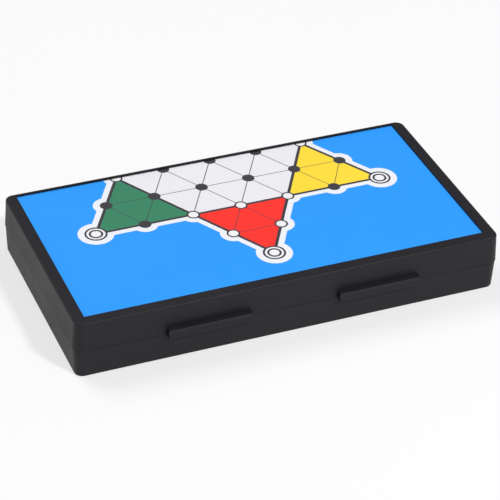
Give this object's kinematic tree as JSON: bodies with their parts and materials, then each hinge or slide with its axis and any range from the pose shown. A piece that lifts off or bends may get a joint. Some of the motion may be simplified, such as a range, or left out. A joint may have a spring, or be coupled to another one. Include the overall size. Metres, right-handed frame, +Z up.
{
  "type": "magnetic board game compendium",
  "caption": "Folding magnetic board game case: hinged plastic trays, a star board printed across their outer faces, and game pieces in compartments inside.",
  "frame": {"origin": "middle of the closed case's footprint, on the surface that the base's outer face stands on", "axes": "+X along the hinge edge to the right, +Y from the thumb ledges towards the hinge, +Z up from base to lid"},
  "size_m": [0.2516, 0.1387, 0.0346],
  "materials": {
    "case_plastic": "fine moulded satin",
    "board_print": "printed, satin varnish",
    "steel_sheet": "tinplate",
    "hinge_pin": "drawn wire",
    "draughts_white": "satin",
    "draughts_black": "satin",
    "magnet": "ferrite",
    "halma_red": "satin",
    "halma_yellow": "satin",
    "halma_green": "satin",
    "halma_blue": "satin",
    "halma_orange": "satin",
    "halma_purple": "satin",
    "dice": "polished",
    "spare_sheet": "printed, satin varnish"
  },
  "bodies": {
    "base": {"base_tray": "case_plastic", "base_board_print": "board_print", "base_steel_sheet": "steel_sheet", "hinge_pin_left": "hinge_pin", "hinge_pin_right": "hinge_pin", "draughts_white": "draughts_white", "draughts_black": "draughts_black", "draughts_magnets": "magnet", "halma_red": "halma_red", "halma_yellow": "halma_yellow", "halma_green": "halma_green", "halma_blue": "halma_blue", "halma_orange": "halma_orange", "halma_purple": "halma_purple", "halma_magnets": "magnet", "dice": "dice"},
    "lid": {"lid_tray": "case_plastic", "lid_board_print": "board_print", "lid_steel_sheet": "steel_sheet", "spare_sheet_left": "spare_sheet", "spare_sheet_right": "spare_sheet", "draughts_sheet_left": "spare_sheet", "draughts_sheet_right": "spare_sheet"}
  },
  "joints": [
    {"name": "lid_hinge", "type": "hinge", "parent": "base", "child": "lid", "pos_m": [0, 0.06591, 0.0173], "axis": [-1, 0, 0], "range_deg": [0, 180]}
  ]
}
